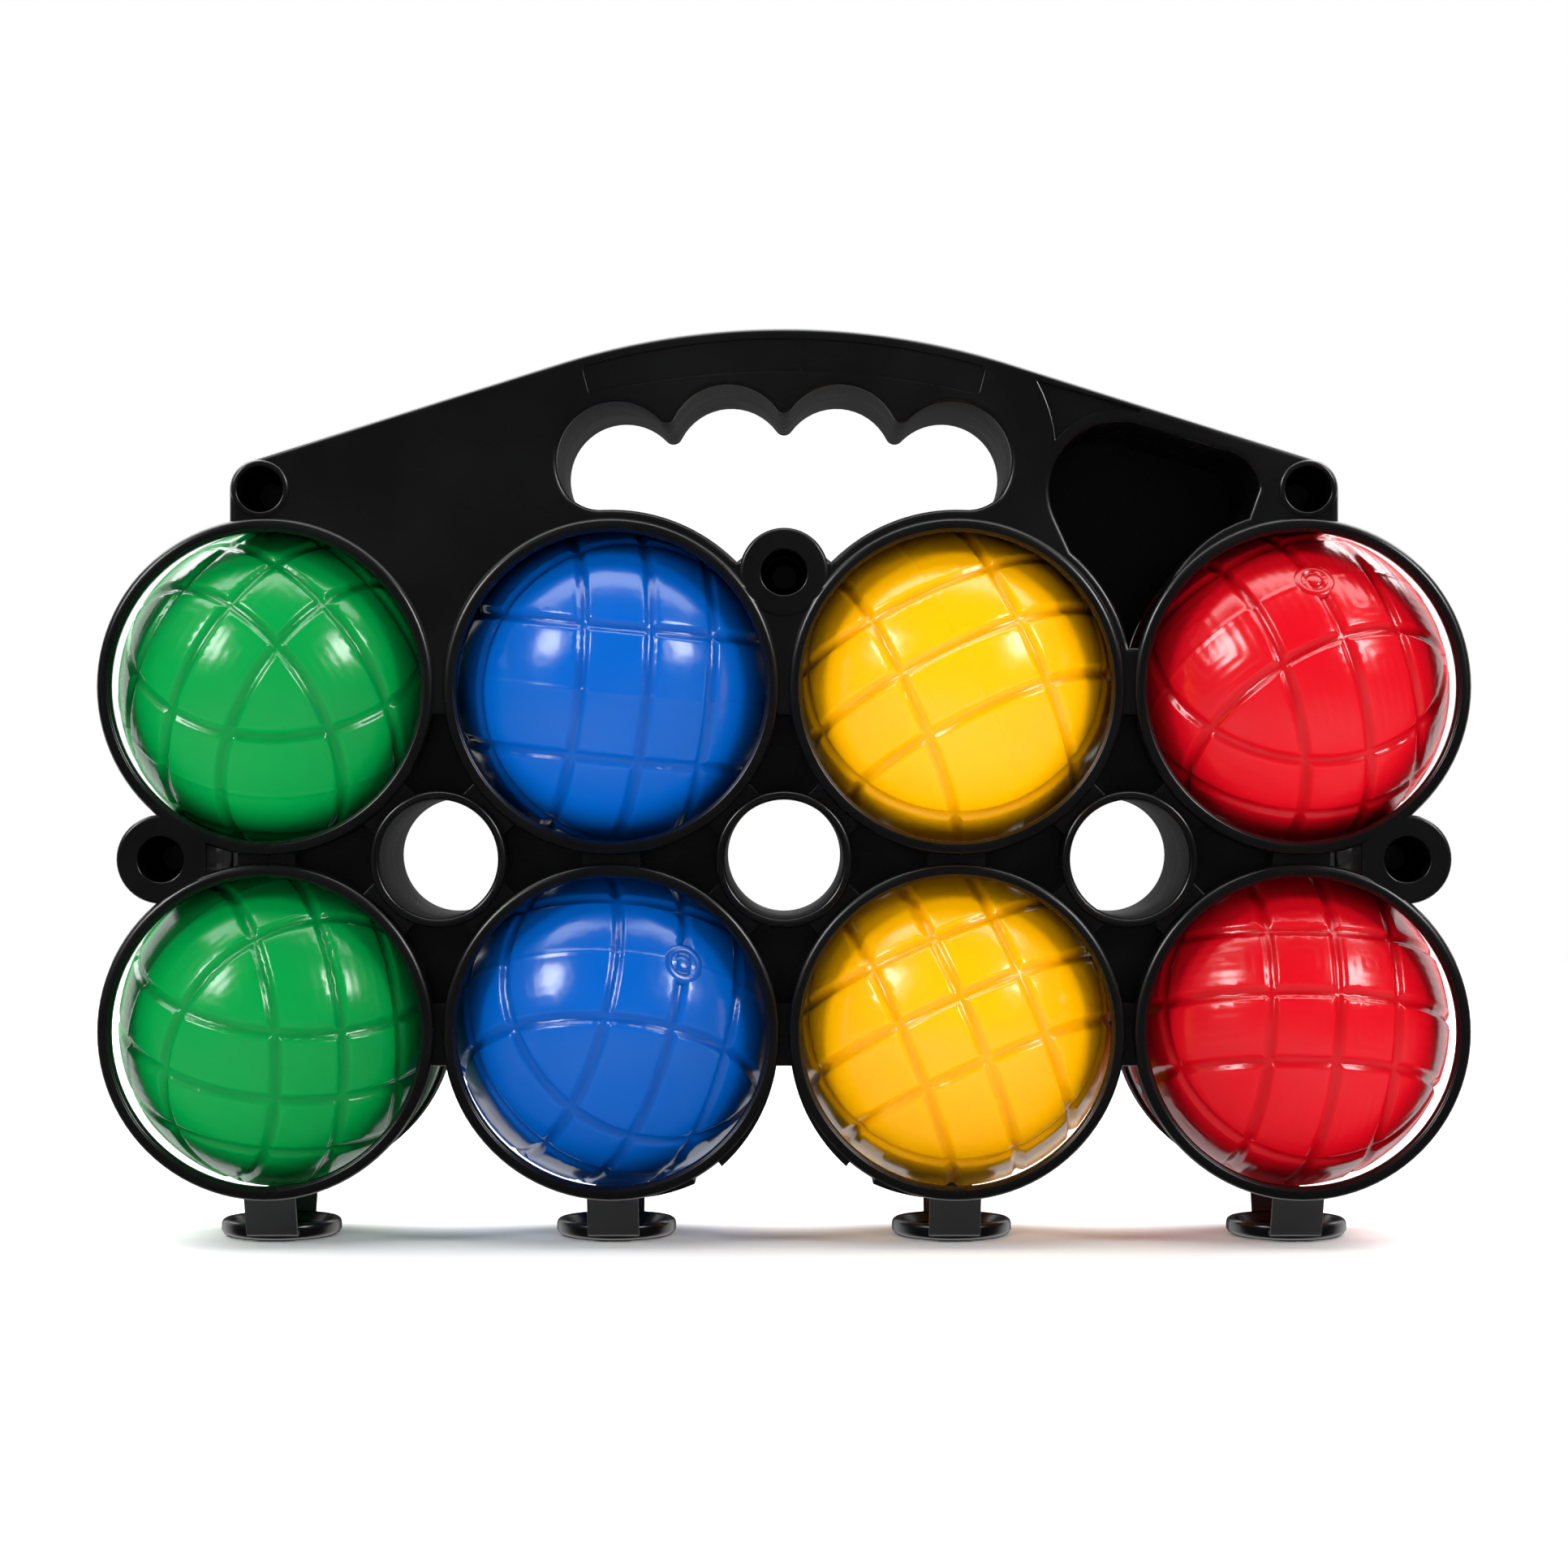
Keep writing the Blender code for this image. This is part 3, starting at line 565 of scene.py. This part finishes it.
def half_case(side):
    """One moulded half of the carrier; side is -1 for the front and 1 for the back."""
    case = carried("case", plate(), side * MATING, rounded_edge(EDGE_ROUND, side, PLATE_DEPTH))
    boolean(case, "DIFFERENCE", hollow(side))
    boolean(case, "DIFFERENCE", hole_cutter("hand_hole", hand_hole, side, PLATE_DEPTH, LIP_ROUND))
    boolean(case, "DIFFERENCE", hole_cutter("pocket", pocket, side, PLATE_DEPTH, LIP_ROUND))
    for outline, deep in ((label_panel(), LABEL_DEPTH), (corner_recess(), RECESS_DEPTH)):
        boolean(case, "DIFFERENCE", recess_cutter("recess", outline, side, PLATE_DEPTH, deep))

    web = rectangle(-OUTER_X, OUTER_X, WEB_BOTTOM, WEB_TOP)
    boolean(case, "UNION", prism("web", web, side, WEB_DEPTH, WEB_DEPTH - FACE_WALL))
    boolean(case, "UNION", bridges(side))
    arms = [rectangle(*sorted((end * (SIDE_BOSS_X - ARM_REACH), end * SIDE_BOSS_X)),
                      MIDDLE_Z - ARM_HALF_HEIGHT, MIDDLE_Z + ARM_HALF_HEIGHT)
            for end in (-1, 1)]
    levels = rounded_edge(ARM_ROUND, side, ARM_DEPTH)
    boolean(case, "UNION", gather([carried("arm", arm, side * HOOP_END, levels)
                                   for arm in arms]))
    boolean(case, "UNION", gather([boss(centre, BOSS_RADIUS, side) for centre in BOSSES[:3]]))
    boolean(case, "UNION", gather([boss(centre, CORNER_BOSS_RADIUS - 0.3 * MM, side)
                                   for centre in BOSSES[3:]]))
    if side > 0:
        boolean(case, "UNION", prism("pocket_floor", pocket(WALL / 2), side,
                                     POCKET_FLOOR_DEPTH, POCKET_FLOOR_DEPTH - FACE_WALL))
        for centre in BOSSES:
            boolean(case, "UNION", peg(centre))

    discs = [prism("disc", circle(*centre, HOOP_OUTER - HOOP_WALL / 2), side, HALF_DEPTH + PAST,
                   -PAST) for centre in RINGS]
    rooms = [prism("ball_room", circle(*centre, BALL_RADIUS + BALL_ROOM), side, ROOM_END, -PAST)
             for centre in RINGS]
    holes = [prism("tube_room", circle(*centre, TUBE_OUTER - WALL / 2), side, HALF_DEPTH + PAST,
                   -PAST) for centre in TUBES]
    for tools in (discs, rooms, holes):
        boolean(case, "DIFFERENCE", gather(tools))
    boolean(case, "UNION", gather([ring("hoop", HOOP_PROFILE, HOOP_OUTER, centre, side, 96)
                                   for centre in RINGS]))
    boolean(case, "UNION", gather([ring("tube", TUBE_PROFILE, TUBE_OUTER, centre, side, 64)
                                   for centre in TUBES]))
    boolean(case, "UNION", fins(side))
    socket_end = -PAST if side < 0 else SOCKET_FLOOR
    levels = rounded_lip(SOCKET_LIP, side, BOSS_DEPTH, 3) + [(0, side * socket_end)]
    boolean(case, "DIFFERENCE", gather([
        carried("socket", circle(*centre, SOCKET_RADIUS + SOCKET_LIP, 40),
                side * (HALF_DEPTH + PAST), levels) for centre in BOSSES]))
    # The outer ball shows through the neck of the pocket.
    window = arc(OUTER_X, UPPER_Z, HOOP_BORE - PAST, 168, 124, 10)
    window += arc(OUTER_X, UPPER_Z, SILL_RADIUS + PAST, 124, 168, 10)
    boolean(case, "DIFFERENCE", prism("neck_window", window, side, HOOP_SEAT, -PAST))
    return smooth(case)


# ---- Feet and their straps ----
def strap(x, side):
    """Thin strap from the bottom of a hoop, bent under itself into the foot's rim."""
    hinge = HINGES["front_hinge" if side < 0 else "feet_hinge"]
    out = abs(hinge.y) + STRAP_OUTSIDE
    top = Vector((HALF_DEPTH - STRAP_SETBACK, LOWER_Z - HOOP_OUTER + HOOP_WALL * 0.6))
    low = Vector((out, hinge.z + STRAP_BEND))
    path = [top.lerp(low, share / 8) for share in range(9)]
    path += [Vector(point) for point in
             arc(out - STRAP_BEND, hinge.z + STRAP_BEND, STRAP_BEND, -22.5, -90, 3)]
    inner = FOOT_HIGH.y - STRAP_IN_FOOT
    path += [Vector((path[-1].x + (inner - path[-1].x) * share / 4, hinge.z))
             for share in range(1, 5)]
    half = STRAP_THICKNESS / 2
    outer_line, inner_line = [], []
    for step, point in enumerate(path):
        along = (path[min(step + 1, len(path) - 1)] - path[max(step - 1, 0)]).normalized()
        across = Vector((-along.y, along.x)) * half
        outer_line.append(point + across)
        inner_line.append(point - across)
    corners = [(x - STRAP_WIDTH / 2, side * point.x, point.y)
               for point in outer_line + inner_line[::-1]]
    piece = circle_through("strap", corners)
    edit_all(piece)
    bpy.ops.mesh.extrude_region_move(TRANSFORM_OT_translate={"value": (STRAP_WIDTH, 0, 0)})
    leave_edit()
    modifier = piece.modifiers.new("edges", "BEVEL")
    modifier.width = 0.22 * MM
    modifier.segments = 2
    modifier.limit_method = "ANGLE"
    modifier.angle_limit = math.radians(50)
    pick(piece)
    bpy.ops.object.modifier_apply(modifier=modifier.name)
    return smooth(piece, 30)


def foot(centre):
    """Round dished foot with a rolled rim."""
    # Radius and height in millimetres, from the middle of the sole round to that of the dish.
    rim, top = (FOOT_HIGH.x - FOOT_LOW.x) / 2 / MM, FOOT_HIGH.z / MM
    profile = [(0, 0.4), (5.0, 0.4), (5.6, 0.0), (rim - 1.7, 0.0), (rim - 0.55, 0.45), (rim, 1.3),
               (rim, top - 1.1), (rim - 0.25, top - 0.4), (rim - 0.8, top), (rim - 1.5, top),
               (rim - 2.1, top - 0.35), (rim - 3.4, 2.0), (rim - 4.4, 1.6), (3.2, 1.6), (2.6, 1.9),
               (0, 1.9)]
    corners = [(r * MM, z * MM) for r, z in profile]
    return smooth(turned("foot", corners, (centre.x, 0, 0), axis="Z", steps=64))


# ---- Balls ----
GROOVE_PLANE = 0.4              # of the ball's radius, from its middle
GROOVE_DEPTH = 1.05 * MM
GROOVE_HALF = 1.75 * MM
FLASH_HEIGHT = 0.14 * MM
FLASH_HALF = 0.4 * MM
GROOVES = [(axis, level) for axis in "xy" for level in (-GROOVE_PLANE, 0.0, GROOVE_PLANE)]
GROOVES += [("z", -GROOVE_PLANE), ("z", GROOVE_PLANE)]
# How each ball lies: where its filler plug points, and the direction across its parting line.
BALL_LIES = {
    "green_ball_upper": ((0.63, 0.61, 0.49), (0.06, -0.66, 0.75)),
    "blue_ball_upper": ((-0.23, 0.97, 0.07), (0.10, -0.05, 0.99)),
    "yellow_ball_upper": ((-0.01, 0.97, -0.26), (0.91, 0.12, 0.41)),
    "red_ball_upper": ((0.06, -0.77, 0.64), (-0.40, 0.57, 0.72)),
    "green_ball_lower": ((0.87, 0.49, 0.08), (0.48, -0.79, -0.39)),
    "blue_ball_lower": ((0.44, -0.79, 0.42), (0.06, 0.49, 0.87)),
    "yellow_ball_lower": ((-0.40, 0.21, 0.89), (0.01, -0.97, 0.23)),
    "red_ball_lower": ((0.02, 0.26, 0.97), (0.19, -0.95, 0.25)),
}


def lie_of(name):
    """Turn and place of a ball: its X at the plug, its Z across the parting line."""
    plug, across = (Vector(direction).normalized() for direction in BALL_LIES[name])
    across = (across - plug * across.dot(plug)).normalized()
    turn = Matrix((plug, across.cross(plug), across)).transposed()
    return Matrix.Translation(BALL_CENTRES[name]) @ turn.to_4x4()


def groove_distance(unit, axis, level):
    """Distance along the surface from a groove's middle line."""
    return abs(getattr(unit, axis) - level) * BALL_RADIUS / math.sqrt(1 - level * level)


def model_ball():
    """Blow-moulded ball with its grooves, cut in rows of edges and then pressed in."""
    deselect()
    bpy.ops.mesh.primitive_ico_sphere_add(subdivisions=6, radius=BALL_RADIUS)
    ball = bpy.context.object
    edit_all(ball)
    normal = {"x": (1, 0, 0), "y": (0, 1, 0), "z": (0, 0, 1)}
    rows = [(axis, level * BALL_RADIUS + offset * GROOVE_HALF * math.sqrt(1 - level * level))
            for axis, level in GROOVES for offset in (-1.15, -0.85, -0.5, 0, 0.5, 0.85, 1.15)]
    rows += [("z", offset * FLASH_HALF) for offset in (-1, 0, 1)]
    for axis, level in rows:
        bpy.ops.mesh.select_all(action="SELECT")
        place = Vector(normal[axis]) * level
        bpy.ops.mesh.bisect(plane_co=place, plane_no=normal[axis])
    bpy.ops.mesh.select_all(action="SELECT")
    bpy.ops.mesh.remove_doubles(threshold=0.02 * MM)
    leave_edit()
    nearest = ball.data.attributes.new("cell", "FLOAT", "POINT")    # in millimetres
    for vertex in ball.data.vertices:
        unit = vertex.co.normalized()
        distances = [groove_distance(unit, *groove) for groove in GROOVES]
        closest = min(distances)
        pressed = GROOVE_DEPTH * (1 - ease((closest / GROOVE_HALF - 0.18) / 0.95))
        raised = FLASH_HEIGHT * (1 - ease(abs(unit.z) * BALL_RADIUS / FLASH_HALF))
        vertex.co = unit * (BALL_RADIUS - FLASH_HEIGHT - pressed + raised)
        nearest.data[vertex.index].value = closest / MM
    pick(ball)
    bpy.ops.object.shade_smooth()
    return ball


def model_plug():
    """Round filler plug with a raised collar, which follows the ball's crown; made along X."""
    # Radius, and height over the crown, in millimetres.
    heights = [(0, 0.30), (1.2, 0.28), (1.9, 0.12), (2.2, -0.30), (2.5, -0.42), (2.85, -0.30),
               (3.15, 0.10), (3.7, 0.22), (4.5, 0.18), (5.0, -0.05), (5.3, -0.55), (5.3, -2.2),
               (0, -2.2)]
    corners = []
    for radius, height in heights:
        crown = BALL_RADIUS - (radius * MM) ** 2 / (2 * BALL_RADIUS)
        corners.append((radius * MM, crown - FLASH_HEIGHT + height * MM))
    plug = turned("plug", corners, (0, 0, 0), axis="Z", steps=48)
    plug.rotation_euler = (0, math.radians(90), 0)
    pick(plug)
    bpy.ops.object.transform_apply(rotation=True)
    return smooth(plug, 50)


def placed_copy(master, matrix):
    copy = master.copy()
    copy.data = master.data.copy()
    bpy.context.scene.collection.objects.link(copy)
    copy.matrix_world = matrix
    pick(copy)
    bpy.ops.object.transform_apply(location=True, rotation=True, scale=True)
    return copy


# ---- Materials ----
def linear(hex_colour):
    """sRGB hex to the linear colour that the shader wants."""
    parts = [int(hex_colour[start:start + 2], 16) / 255 for start in (1, 3, 5)]
    return (*[part / 12.92 if part <= 0.04045 else ((part + 0.055) / 1.055) ** 2.4
              for part in parts], 1.0)


def per(millimetres):
    """Pattern scale that repeats about once in this many millimetres."""
    return 1 / (millimetres * MM)


def add(tree, kind, sockets=None, **settings):
    """Adds a node with its settings; a socket takes a value, or a link from another socket."""
    made = tree.nodes.new(kind)
    for name, value in settings.items():
        setattr(made, name, value)
    for name, value in (sockets or {}).items():
        if isinstance(value, bpy.types.NodeSocket):
            tree.links.new(value, made.inputs[name])
        else:
            made.inputs[name].default_value = value
    return made


def new_material(name):
    made = bpy.data.materials.new(name)
    made.use_nodes = True
    tree = made.node_tree
    return made, tree, tree.nodes["Principled BSDF"]


def moulded_polypropylene(name, dark, light, smoothest, roughest):
    """Injection-moulded black polypropylene: satin, with a fine spark-eroded grain and faint
    flow waves, so that wide highlights are soft and a little uneven."""
    made, tree, shader = new_material("polypropylene_" + name)
    place = add(tree, "ShaderNodeTexCoord").outputs["Object"]
    waves = add(tree, "ShaderNodeTexNoise", {"Vector": place, "Scale": per(22), "Detail": 2.0})
    grain = add(tree, "ShaderNodeTexNoise", {"Vector": place, "Scale": per(0.5), "Detail": 3.0})
    gloss = add(tree, "ShaderNodeMapRange", {"Value": waves.outputs["Fac"], "From Min": 0.3,
                                             "From Max": 0.7, "To Min": smoothest,
                                             "To Max": roughest})
    tint = add(tree, "ShaderNodeMix", {"Factor": waves.outputs["Fac"], 6: linear(dark),
                                       7: linear(light)}, data_type="RGBA")
    tree.links.new(tint.outputs[2], shader.inputs["Base Color"])
    tree.links.new(gloss.outputs["Result"], shader.inputs["Roughness"])
    broad = add(tree, "ShaderNodeBump", {"Height": waves.outputs["Fac"], "Distance": 0.25 * MM,
                                         "Strength": 0.25})
    fine = add(tree, "ShaderNodeBump", {"Height": grain.outputs["Fac"], "Distance": 0.02 * MM,
                                        "Strength": 0.35, "Normal": broad.outputs["Normal"]})
    tree.links.new(fine.outputs["Normal"], shader.inputs["Normal"])
    shader.inputs["IOR"].default_value = 1.49
    return made


def blown_polyethylene(name, body, deep, marks):
    """Blow-moulded polyethylene: glossy, slightly cloudy, a little wavy where the wall cooled
    unevenly, with sink marks that repeat the shape of each cell."""
    made, tree, shader = new_material("polyethylene_blow_moulded_" + name)
    place = add(tree, "ShaderNodeTexCoord").outputs["Object"]
    cell = add(tree, "ShaderNodeAttribute", attribute_name="cell").outputs["Fac"]
    cloud = add(tree, "ShaderNodeTexNoise", {"Vector": place, "Scale": per(16), "Detail": 3.0})
    skin = add(tree, "ShaderNodeTexNoise", {"Vector": place, "Scale": per(2.5), "Detail": 2.0})
    # The cell attribute is the distance in millimetres to the nearest groove's middle line.
    # Painted shade: towards each groove's middle line the colour turns from the body colour to the
    # darker deep colour, shade painted into the grooves.
    depth = add(tree, "ShaderNodeMapRange", {"Value": cell, "From Min": 0.2, "From Max": 1.9})
    tint = add(tree, "ShaderNodeMix", {"Factor": depth.outputs["Result"], 6: linear(deep),
                                       7: linear(body)}, data_type="RGBA")
    shade = add(tree, "ShaderNodeMix", {"Factor": cloud.outputs["Fac"], 6: tint.outputs[2],
                                        7: linear(body)}, data_type="RGBA")
    tree.links.new(shade.outputs[2], shader.inputs["Base Color"])
    gloss = add(tree, "ShaderNodeMapRange", {"Value": cloud.outputs["Fac"], "From Min": 0.3,
                                             "From Max": 0.7, "To Min": 0.17, "To Max": 0.25})
    tree.links.new(gloss.outputs["Result"], shader.inputs["Roughness"])
    ridges = add(tree, "ShaderNodeMath", {0: cell, 1: math.tau / 2.6}, operation="MULTIPLY")
    swing = add(tree, "ShaderNodeMath", {0: ridges.outputs[0]}, operation="SINE")
    inside = add(tree, "ShaderNodeMapRange", {"Value": cell, "From Min": 2.6, "From Max": 3.8})
    sunk = add(tree, "ShaderNodeMath", {0: swing.outputs[0], 1: inside.outputs["Result"]},
               operation="MULTIPLY")
    waves = add(tree, "ShaderNodeBump", {"Height": cloud.outputs["Fac"], "Distance": 1.2 * MM,
                                         "Strength": 0.35})
    marked = add(tree, "ShaderNodeBump", {"Height": sunk.outputs[0], "Distance": 0.05 * MM,
                                          "Strength": marks, "Normal": waves.outputs["Normal"]})
    fine = add(tree, "ShaderNodeBump", {"Height": skin.outputs["Fac"], "Distance": 0.03 * MM,
                                        "Strength": 0.4, "Normal": marked.outputs["Normal"]})
    tree.links.new(fine.outputs["Normal"], shader.inputs["Normal"])
    shader.inputs["IOR"].default_value = 1.51
    shader.inputs["Subsurface Weight"].default_value = 0.12
    shader.inputs["Subsurface Scale"].default_value = 2 * MM
    return made


def filling_water():
    """Water in the ball, clouded by the shell's plastic: smooth, pale and clear."""
    made, tree, shader = new_material("water_filling")
    place = add(tree, "ShaderNodeTexCoord").outputs["Object"]
    cloud = add(tree, "ShaderNodeTexNoise", {"Vector": place, "Scale": per(20)})
    tint = add(tree, "ShaderNodeMix", {"Factor": cloud.outputs["Fac"], 6: linear("#C8D4D8"),
                                       7: linear("#DCE6E8")}, data_type="RGBA")
    tree.links.new(tint.outputs[2], shader.inputs["Base Color"])
    shader.inputs["Roughness"].default_value = 0.1
    shader.inputs["IOR"].default_value = 1.33
    return made


def studio_paper():
    """Matt white paper."""
    made, _, shader = new_material("studio_paper")
    shader.inputs["Base Color"].default_value = linear("#FAFAFA")
    shader.inputs["Roughness"].default_value = 0.9
    return made


# ---- The set ----
black = moulded_polypropylene("injection_moulded", "#050506", "#0A0A0B", 0.22, 0.32)
# Thin straps that bend: a duller copy of the black plastic, painted paler as painted light on the
# straps.
painted_lit_strap_black = moulded_polypropylene("paler_painted_lit", "#2A2A2C", "#363638", 0.42, 0.55)
# Each ball's second colour is painted shade, laid into its grooves.
ball_finishes = {
    "green": blown_polyethylene("green", "#008A3C", "#007231", 0.2),
    "blue": blown_polyethylene("blue", "#0055B0", "#004497", 0.06),
    "yellow": blown_polyethylene("yellow", "#F8B000", "#E89200", 0.06),
    "red": blown_polyethylene("red", "#C60718", "#A8000B", 0.4),
}

for side, half in ((-1, "front"), (1, "back")):
    case = half_case(side)
    finish_piece(case, half + "_case_moulding", half + "_case", black, "carrier", half + "_half")

for number, centre in enumerate(FOOT_CENTRES, start=1):
    finish_piece(foot(centre), f"foot_{number}_dish", "feet", black, "carrier",
                 f"foot_{number}")
    for side, half, hinge in ((-1, "front", "front_hinge"), (1, "back", "feet_hinge")):
        piece = strap(centre.x, side)
        finish_piece(piece, f"{half}_strap_{number}", None, painted_lit_strap_black, "carrier")
        start, end = ((centre.x, HINGES[hinge].y + side * outwards, HINGES[hinge].z + upwards)
                      for outwards, upwards in (STRAP_BLEND_START, STRAP_BLEND_END))
        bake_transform(piece)

master_ball, master_plug = model_ball(), model_plug()
for name in BALLS:
    colour = name.split("_")[0]
    finish, slot = ball_finishes[colour], colour + "_ball"
    lie = lie_of(name)
    finish_piece(placed_copy(master_ball, lie), name + "_skin", name, finish, slot, name + "_shell")
    finish_piece(placed_copy(master_plug, lie), name + "_filler_cap", name, finish, slot,
                 name + "_plug")
for master in (master_ball, master_plug):
    bpy.data.objects.remove(master)

water = filling_water()
for name in BALLS:
    filling = frame["nodes"][name + "_filling"]
    filling.data.materials.clear()
    filling.data.materials.append(water)

# ---- Stage, light and camera ----
deselect()
bpy.ops.mesh.primitive_plane_add(size=2.6, location=(0, 0, -0.2 * MM))
floor = bpy.context.object
floor.name = "floor"
floor.data.materials.append(studio_paper())
# A floor this pale would turn the black plates grey where they mirror it.
floor.visible_glossy = False


def softbox(name, place, target, width, height, power):
    """Rectangular lamp that faces a point."""
    lamp = bpy.data.lights.new(name, "AREA")
    lamp.shape = "RECTANGLE"
    lamp.size, lamp.size_y = width, height
    lamp.energy = power
    holder = bpy.data.objects.new(name, lamp)
    bpy.context.scene.collection.objects.link(holder)
    holder.location = place
    holder.rotation_euler = (Vector(target) - Vector(place)).to_track_quat("-Z", "Y").to_euler()
    return holder


LOOK_AT = (0, 0, 0.11)
for end, name in ((-1, "softbox_left"), (1, "softbox_right")):
    softbox(name, (end * 0.95, -0.75, 0.78), LOOK_AT, 0.38, 0.40, 8.5)
softbox("top_light", (0, 0.6, 1.5), (0, 0.2, 0), 3.2, 2.2, 105)
# The front light is so broad and dim that it would only grey the black plastic's gloss.
softbox("front_fill", (0, -1.9, 0.35), LOOK_AT, 1.6, 1.2, 3.5).visible_glossy = False

# The backdrop is pure white to the eye. The room is dim in front of the set and straight
# behind it, and pale around that, which gives the balls their bright edges.
world = bpy.data.worlds.new("studio")
bpy.context.scene.world = world
world.use_nodes = True
room = world.node_tree
facing = add(room, "ShaderNodeSeparateXYZ",
             {"Vector": add(room, "ShaderNodeTexCoord").outputs["Generated"]}).outputs["Y"]
rises = add(room, "ShaderNodeMapRange", {"Value": facing, "From Min": 0.1, "From Max": 0.45},
            interpolation_type="SMOOTHSTEP")
falls = add(room, "ShaderNodeMapRange", {"Value": facing, "From Min": 0.93, "From Max": 0.8},
            interpolation_type="SMOOTHSTEP")
pale = add(room, "ShaderNodeMath", {0: rises.outputs["Result"], 1: falls.outputs["Result"]},
           operation="MULTIPLY")
lit = add(room, "ShaderNodeMapRange", {"Value": pale.outputs[0], "To Min": 0.05, "To Max": 1.3})
path = add(room, "ShaderNodeLightPath")
seen = add(room, "ShaderNodeMapRange", {"Value": path.outputs["Is Camera Ray"],
                                        "To Min": lit.outputs["Result"], "To Max": 1.0})
room.links.new(seen.outputs["Result"], room.nodes["Background"].inputs["Strength"])
room.nodes["Background"].inputs["Color"].default_value = linear("#FFFFFF")
bpy.context.scene.view_settings.view_transform = "Standard"

eye = bpy.data.cameras.new("camera")
eye.lens = 80
eye.sensor_width = 36
camera = bpy.data.objects.new("camera", eye)
bpy.context.scene.collection.objects.link(camera)
camera.location = (0, -0.864, 0.1114)
camera.rotation_euler = (math.radians(90), 0, 0)
bpy.context.scene.camera = camera
